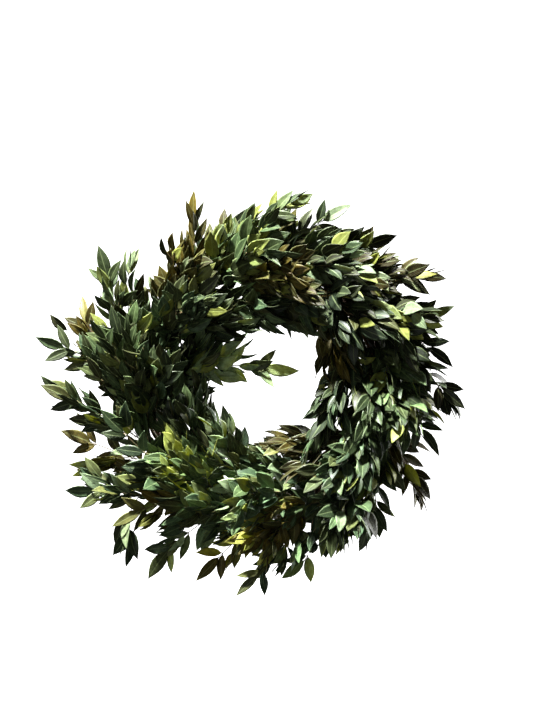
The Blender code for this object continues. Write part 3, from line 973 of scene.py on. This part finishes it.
def pick(*objects):
    """Selects these objects and no others, and makes the first one active."""
    if bpy.context.object and bpy.context.object.mode != "OBJECT":
        bpy.ops.object.mode_set(mode="OBJECT")
    bpy.ops.object.select_all(action="DESELECT")
    for obj in objects:
        obj.select_set(True)
    if objects:
        bpy.context.view_layer.objects.active = objects[0]


def turn_faces(inside):
    """Turns all faces of the mesh in edit mode inwards or outwards, and leaves edit mode."""
    bpy.ops.mesh.select_all(action="SELECT")
    bpy.ops.mesh.normals_make_consistent(inside=inside)
    bpy.ops.object.mode_set(mode="OBJECT")


class Pattern:
    """The leaf that all are copied from: its points, faces, leaf map and which faces are underneath."""

    def __init__(self):
        obj = model_leaf()
        mesh = obj.data
        self.points = np.array([point.co for point in mesh.vertices])
        self.faces = [tuple(face.vertices) for face in mesh.polygons]
        corners = np.array([corner for face in self.faces for corner in face])
        half = np.interp(self.points[:, 0], *zip(*LEAF_RINGS, LEAF_TIP))
        across = np.clip(self.points[:, 1] / half, -1, 1)
        self.map = np.stack((self.points[:, 0], 0.5 + 0.5 * across), 1)[corners]
        under = [self.points[list(face), 2].mean() < 0 for face in self.faces]
        self.under = np.array([low for low, face in zip(under, self.faces) for _ in face])
        self.points[:, 2] /= np.abs(self.points[:, 2]).max() * 2
        bpy.data.objects.remove(obj)
        bpy.data.meshes.remove(mesh)


def model_leaf():
    """A flat leaf of length 1 along +X, drawn out ring by ring from its stalk and closed at both ends."""
    pick()
    bpy.ops.mesh.primitive_circle_add(vertices=LEAF_SIDES, radius=1, rotation=(0, math.pi / 2, 0))
    leaf = bpy.context.object
    bpy.ops.object.transform_apply(rotation=True)
    bpy.ops.object.mode_set(mode="EDIT")
    bpy.ops.mesh.select_all(action="SELECT")
    place, half = LEAF_RINGS[0]
    bpy.ops.transform.resize(value=(1, half, half))
    bpy.ops.mesh.edge_face_add()
    for next_place, next_half in LEAF_RINGS[1:]:
        bpy.ops.mesh.extrude_region_move(TRANSFORM_OT_translate={"value": (next_place - place, 0, 0)})
        bpy.ops.transform.resize(value=(1, next_half / half, 1), center_override=(next_place, 0, 0))
        place, half = next_place, next_half
    bpy.ops.mesh.extrude_region_move(TRANSFORM_OT_translate={"value": (1 - place, 0, 0)})
    bpy.ops.mesh.merge(type="CENTER")
    turn_faces(inside=False)
    return leaf


@functools.cache
def pattern():
    return Pattern()


def join_leaves(name, leaves):
    """One mesh of a copy of the leaf pattern for each leaf."""
    thickness = bpy.context.scene.wreath_leaves.thickness
    leaf = pattern()
    count = len(leaf.points)
    points = np.concatenate([one.points(leaf.points, thickness) for one in leaves])
    faces = [tuple(count * i + corner for corner in face) for i in range(len(leaves)) for face in leaf.faces]
    mesh = bpy.data.meshes.new(name)
    mesh.from_pydata(points.tolist(), [], faces)
    layer = mesh.uv_layers.new(name="leaf")
    layer.data.foreach_set("uv", np.tile(leaf.map.ravel(), len(leaves)))
    tint = mesh.color_attributes.new("leaf_colour", "FLOAT_COLOR", "CORNER")
    sides = np.array([(one.colour, one.back) for one in leaves])
    shades = np.where(leaf.under[None, :, None], sides[:, 1:2], sides[:, 0:1])
    tint.data.foreach_set("color", shades.ravel())
    return mesh


def add_object(name, data):
    made = bpy.data.objects.new(name, data)
    bpy.context.scene.collection.objects.link(made)
    return made


def tube(name, lines, radii, step, resolution=0):
    """Round tubes along smooth lines as one mesh object. Their radii go by the share of their length."""
    curve = bpy.data.curves.new(name, "CURVE")
    curve.dimensions = "3D"
    curve.bevel_depth = 1
    curve.bevel_resolution = resolution
    curve.use_fill_caps = True
    for line in lines:
        length = line_length(line)
        distances = np.linspace(0, length, max(3, round(length / step)))
        places, _ = smooth_line(line, distances)
        spline = curve.splines.new("POLY")
        spline.points.add(len(places) - 1)
        for point, place, distance in zip(spline.points, places, distances):
            point.co = (*place, 1)
            point.radius = radii(distance / length)
    pick(add_object(name, curve))
    bpy.ops.object.convert(target="MESH")
    bpy.ops.object.mode_set(mode="EDIT")
    bpy.ops.mesh.select_all(action="SELECT")
    bpy.ops.mesh.remove_doubles(threshold=WELD)
    turn_faces(inside=False)
    return bpy.context.object


def take_place(piece, node):
    """Hands a finished piece over in place of a node of the frame."""
    bpy.ops.object.shade_smooth()
    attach(piece, "root")
    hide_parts(node)
    slot_of(node)


def dress_spray(thicket, spray):
    """Makes the piece that takes a spray's place: leaves, stem and twigs."""
    grow_spray(thicket, spray)
    sizing = bpy.context.scene.wreath_leaves
    foot, tip = sizing.stem_radius, sizing.tip_radius
    twig, less = TWIG_RADII
    parts = [tube("stems", [spray.line], lambda share: foot + (tip - foot) * share, STEM_STEP, resolution=1)]
    if spray.twigs:
        parts.append(tube("twigs", spray.twigs, lambda share: tip * (twig - less * share), TWIG_STEP))
    name = f"{spray.node}_foliage"
    leaves = add_object(name, join_leaves(name, spray.leaves))
    leaves.data.materials.append(leaf_finish())
    for part in parts:
        part.data.materials.append(stem_finish())
    pick(leaves, *parts)
    bpy.ops.object.join()
    take_place(leaves, spray.node)


def dress_vine(node):
    """Makes the piece that takes a vine's place: a knotty round stem with cut ends."""
    shape = sound_copy(node)
    rings = ring_line(list(shape.verts), VINE_RING_LINK)
    line = [middle_of(ring) for ring in rings]
    reach = max((point.co - line[0]).length for point in rings[0])
    shape.free()
    dice = random.Random(node)
    knots = [dice.random() for _ in range(KNOTS)]

    def radius(share):
        knot = max(math.exp(-(((share - mark) / KNOT_LENGTH) ** 2)) for mark in knots)
        return reach * (VINE_GIRTH + VINE_WAVE * math.sin(WAVES * share) + KNOT_RISE * knot)

    vine = tube(f"{node}_bark", [line], radius, VINE_STEP, resolution=3)
    vine.data.materials.append(bark_finish())
    take_place(vine, node)


class SprayGroup:
    """Dresses every spray whose node begins with the group's name."""

    prefix = ""

    def execute(self, context):
        thicket, sprays = planting()
        nodes = spray_nodes(self.prefix)
        if not nodes:
            raise RuntimeError(f"the frame has no sprays named {self.prefix}")
        for node in nodes:
            dress_spray(thicket, sprays[node])
        return {"FINISHED"}


class WREATH_OT_vines(bpy.types.Operator):
    """The three twisted vines"""

    bl_idname = "wreath.vines"
    bl_label = "Vines"

    def execute(self, context):
        for node in vine_nodes():
            dress_vine(node)
        return {"FINISHED"}


class WREATH_OT_hole_spray(SprayGroup, bpy.types.Operator):
    """The spray that lies across the upper half of the hole"""

    bl_idname = "wreath.hole_spray"
    bl_label = "Spray across the hole"
    prefix = "hole_spray"


class WREATH_OT_front_sprays(SprayGroup, bpy.types.Operator):
    """Sprays on the front of the ring"""

    bl_idname = "wreath.front_sprays"
    bl_label = "Front sprays"
    prefix = "front_spray"


class WREATH_OT_middle_sprays(SprayGroup, bpy.types.Operator):
    """Sprays on the face between the front and the hole"""

    bl_idname = "wreath.middle_sprays"
    bl_label = "Middle sprays"
    prefix = "middle_spray"


class WREATH_OT_inner_sprays(SprayGroup, bpy.types.Operator):
    """Sprays round the hole"""

    bl_idname = "wreath.inner_sprays"
    bl_label = "Inner sprays"
    prefix = "inner_spray"


class WREATH_OT_outer_sprays(SprayGroup, bpy.types.Operator):
    """Sprays whose tips make the wreath's outline"""

    bl_idname = "wreath.outer_sprays"
    bl_label = "Outer sprays"
    prefix = "outer_spray"


class WREATH_OT_stage(bpy.types.Operator):
    """Pale round floor that curves up into a wall, lights and camera"""

    bl_idname = "wreath.stage"
    bl_label = "Stage"

    def execute(self, context):
        make_backdrop()
        make_lights()
        make_camera()
        return {"FINISHED"}


def make_backdrop():
    """A plain round floor, drawn up all round into a wall with a rounded fold."""
    stage = bpy.context.scene.wreath_stage
    pick()
    bpy.ops.mesh.primitive_circle_add(
        vertices=WALL_SIDES, radius=stage.wall_distance, fill_type="NGON", location=(0, 0, stage.floor_height)
    )
    backdrop = bpy.context.object
    backdrop.name = "backdrop"
    bpy.ops.object.transform_apply(location=True)
    bpy.ops.object.mode_set(mode="EDIT")
    shape = bmesh.from_edit_mesh(backdrop.data)
    bpy.ops.mesh.select_all(action="DESELECT")
    for edge in shape.edges:
        edge.select_set(True)
    bpy.ops.mesh.extrude_edges_move(TRANSFORM_OT_translate={"value": (0, 0, WALL_HEIGHT)})
    shape = bmesh.from_edit_mesh(backdrop.data)
    for edge in shape.edges:
        edge.select_set(all(abs(point.co.z - stage.floor_height) < MM for point in edge.verts))
    bmesh.update_edit_mesh(backdrop.data)
    bpy.ops.mesh.bevel(offset=WALL_FOLD, segments=FOLD_STEPS)
    turn_faces(inside=True)
    bpy.ops.object.shade_smooth()
    paper = Finish("pale_paper").dress(
        Base_Color=(0.9, 0.9, 0.9), Roughness=1.0, Emission_Color=(1, 1, 1), Emission_Strength=1.0
    )
    backdrop.data.materials.append(paper)
    backdrop.visible_diffuse = backdrop.visible_glossy = False
    backdrop.visible_transmission = backdrop.visible_shadow = False


def make_lights():
    """The lights, each aimed at the ring's centre, and a faint sky."""
    stage = bpy.context.scene.wreath_stage
    for name, (offset, size) in LIGHTS.items():
        light = bpy.data.lights.new(f"{name}_light", "AREA")
        light.shape = "DISK"
        light.size = size
        light.energy = getattr(stage, f"{name}_power")
        lamp = add_object(f"{name}_light", light)
        place = RING_CENTRE + Vector(offset)
        lamp.location = place
        lamp.rotation_mode = "QUATERNION"
        lamp.rotation_quaternion = (RING_CENTRE - place).to_track_quat("-Z", "Y")
    world = bpy.data.worlds.new("studio")
    world.use_nodes = True
    sky = world.node_tree.nodes["Background"]
    sky.inputs["Color"].default_value = SKY_COLOUR
    sky.inputs["Strength"].default_value = SKY_STRENGTH
    bpy.context.scene.world = world
    bpy.context.scene.view_settings.view_transform = "Standard"


def make_camera():
    """A long lens at the wreath's height, straight on."""
    stage = bpy.context.scene.wreath_stage
    data = bpy.data.cameras.new("camera")
    data.lens = data.sensor_width * stage.camera_distance / stage.view_height
    camera = add_object("camera", data)
    camera.location = RING_CENTRE + Vector((CAMERA_RIGHT, -stage.camera_distance, CAMERA_RAISE))
    camera.rotation_euler = (math.pi / 2, 0, 0)
    bpy.context.scene.camera = camera


PIECES = (
    WREATH_OT_vines,
    WREATH_OT_outer_sprays,
    WREATH_OT_front_sprays,
    WREATH_OT_middle_sprays,
    WREATH_OT_inner_sprays,
    WREATH_OT_hole_spray,
    WREATH_OT_stage,
)


class WREATH_PT_sidebar(bpy.types.Panel):
    """Lists the pieces in the order in which they are made"""

    bl_label = "Myrtle wreath"
    bl_idname = "WREATH_PT_sidebar"
    bl_space_type = "VIEW_3D"
    bl_region_type = "UI"
    bl_category = "Wreath"

    def draw(self, context):
        for piece in PIECES:
            self.layout.operator(piece.bl_idname)
        for group in SETTINGS:
            settings = getattr(context.scene, group)
            box = self.layout.box()
            for name in settings.__annotations__:
                box.prop(settings, name)


SETTINGS = {
    "wreath_leaves": WreathLeafSettings,
    "wreath_colours": WreathColourSettings,
    "wreath_stage": WreathStageSettings,
}


def register():
    for kind in (*SETTINGS.values(), *PIECES, WREATH_PT_sidebar):
        bpy.utils.register_class(kind)
    for name, kind in SETTINGS.items():
        setattr(bpy.types.Scene, name, bpy.props.PointerProperty(type=kind))


def unregister():
    for name in SETTINGS:
        delattr(bpy.types.Scene, name)
    for kind in (WREATH_PT_sidebar, *reversed(PIECES), *SETTINGS.values()):
        bpy.utils.unregister_class(kind)


def main():
    register()
    bpy.ops.wreath.vines()
    bpy.ops.wreath.outer_sprays()
    bpy.ops.wreath.front_sprays()
    bpy.ops.wreath.middle_sprays()
    bpy.ops.wreath.inner_sprays()
    bpy.ops.wreath.hole_spray()
    bpy.ops.wreath.stage()


if __name__ == "__main__":
    main()
